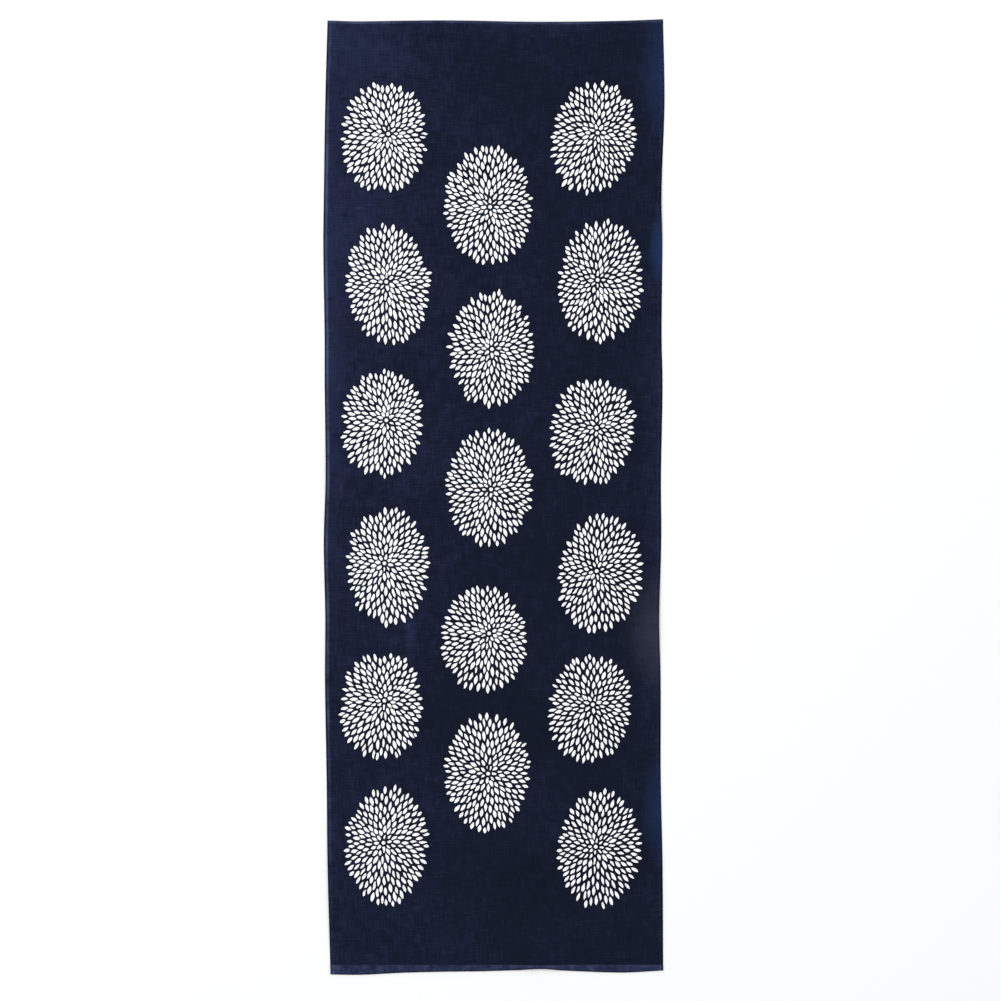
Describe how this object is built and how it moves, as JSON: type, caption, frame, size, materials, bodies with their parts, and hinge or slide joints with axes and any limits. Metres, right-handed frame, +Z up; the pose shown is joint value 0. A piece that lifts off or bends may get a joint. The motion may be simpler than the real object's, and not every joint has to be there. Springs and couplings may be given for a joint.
{
  "type": "tenugui towel",
  "caption": "Long narrow hand towel of thin plain-woven cotton, laid out flat, with selvedge sides, a cut top end and a narrow turned hem at the bottom end.",
  "frame": {"origin": "under the middle of the towel's box, on the surface that it lies on", "axes": "+X across the cloth to its right-hand selvedge, +Y along the cloth to its cut top end, +Z up out of the front face"},
  "size_m": [0.3552, 0.9946, 0.0039],
  "materials": {
    "cotton": "matt plain-woven cotton, dyed deep indigo with white flowers left undyed"
  },
  "bodies": {
    "root": {"towel": "cotton"}
  },
  "joints": []
}
